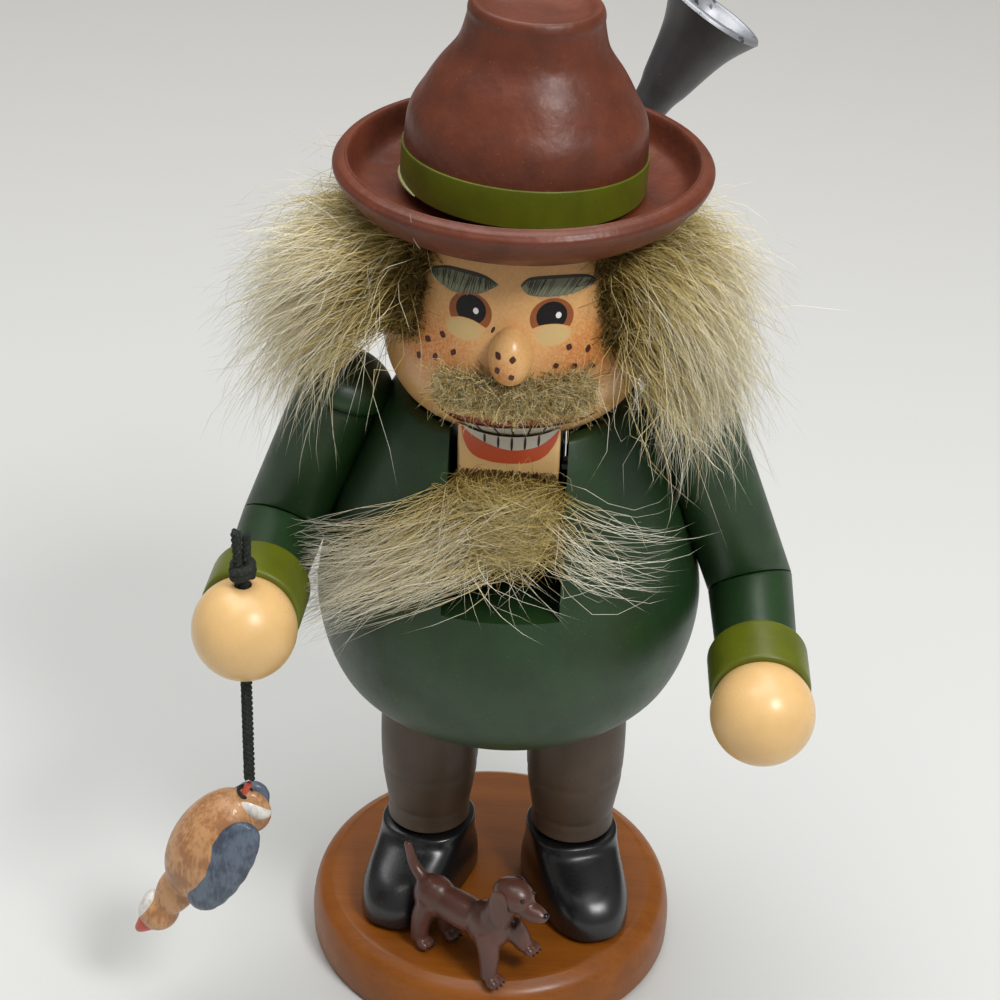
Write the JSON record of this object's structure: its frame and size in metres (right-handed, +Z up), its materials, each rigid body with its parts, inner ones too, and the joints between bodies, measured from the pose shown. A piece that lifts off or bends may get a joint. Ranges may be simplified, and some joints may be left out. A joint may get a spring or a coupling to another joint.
{
  "type": "wooden nutcracker figure",
  "caption": "Standing wooden hunter figure on a round base, with a lever jaw that cracks a nut, a gun on its back, a bird on a cord and a dog.",
  "frame": {"origin": "on the figure's upright axis, at the underside of its base plate", "axes": "+Z up along the figure, -Y the way the figure faces, +X towards its own left hand"},
  "size_m": [0.0758, 0.0588, 0.1209],
  "materials": {
    "coat_green_paint": "satin green paint on turned beech",
    "trim_olive_paint": "satin olive paint",
    "hat_brown_paint": "satin red-brown paint",
    "skin_paint": "satin skin-coloured paint",
    "base_honey_stain": "honey stain under clear lacquer",
    "boot_black_paint": "gloss black paint",
    "trousers_brown_paint": "satin brown paint",
    "bare_beech": "bare wood",
    "pin_steel": "bare steel",
    "gun_grey_paint": "satin grey paint, paler at the mouth",
    "stock_brown_paint": "satin brown paint",
    "wheat_fur": "fur, dark at the root",
    "black_cord": "matte cord",
    "bird_paint": "satin paint",
    "dog_paint": "satin paint"
  },
  "bodies": {
    "figure": {"base_plate": "base_honey_stain", "boot_left": "boot_black_paint", "boot_right": "boot_black_paint", "leg_left": "trousers_brown_paint", "leg_right": "trousers_brown_paint", "leg_dowel_left": "bare_beech", "leg_dowel_right": "bare_beech", "body": "coat_green_paint", "pivot_pin": "pin_steel", "head": "skin_paint", "neck_dowel_left": "bare_beech", "neck_dowel_right": "bare_beech", "nose": "skin_paint", "hat_brim": "hat_brown_paint", "hat_crown": "hat_brown_paint", "hat_dowel": "bare_beech", "upper_arm_left": "coat_green_paint", "upper_arm_right": "coat_green_paint", "forearm_left": "coat_green_paint", "forearm_right": "coat_green_paint", "cuff_left": "trim_olive_paint", "cuff_right": "trim_olive_paint", "hand_left": "skin_paint", "hand_right": "skin_paint", "shoulder_cap_left": "coat_green_paint", "shoulder_cap_right": "coat_green_paint", "shoulder_dowel_left": "bare_beech", "shoulder_dowel_right": "bare_beech", "hair_left": "wheat_fur", "hair_right": "wheat_fur", "hair_back": "wheat_fur", "moustache": "wheat_fur", "gun_barrel": "gun_grey_paint", "gun_stock": "stock_brown_paint", "gun_dowel": "bare_beech", "cord_knot": "black_cord", "dog": "dog_paint"},
    "jaw": {"jaw_lever": "skin_paint", "beard": "wheat_fur"},
    "cord": {"cord_drop": "black_cord"},
    "bird": {"bird": "bird_paint"}
  },
  "joints": [
    {"name": "jaw_hinge", "type": "hinge", "parent": "figure", "child": "jaw", "pos_m": [0, 0.003, 0.065], "axis": [1, 0, 0], "range_deg": [0, 15], "deforming": ["beard"]},
    {"name": "cord_swing", "type": "hinge", "parent": "figure", "child": "cord", "pos_m": [-0.02723, -0.02147, 0.0511], "axis": [0, 1, 0], "range_deg": [-20, 20]},
    {"name": "bird_swing", "type": "hinge", "parent": "cord", "child": "bird", "pos_m": [-0.02723, -0.02147, 0.0361], "axis": [1, 0, 0], "range_deg": [-20, 20]}
  ]
}
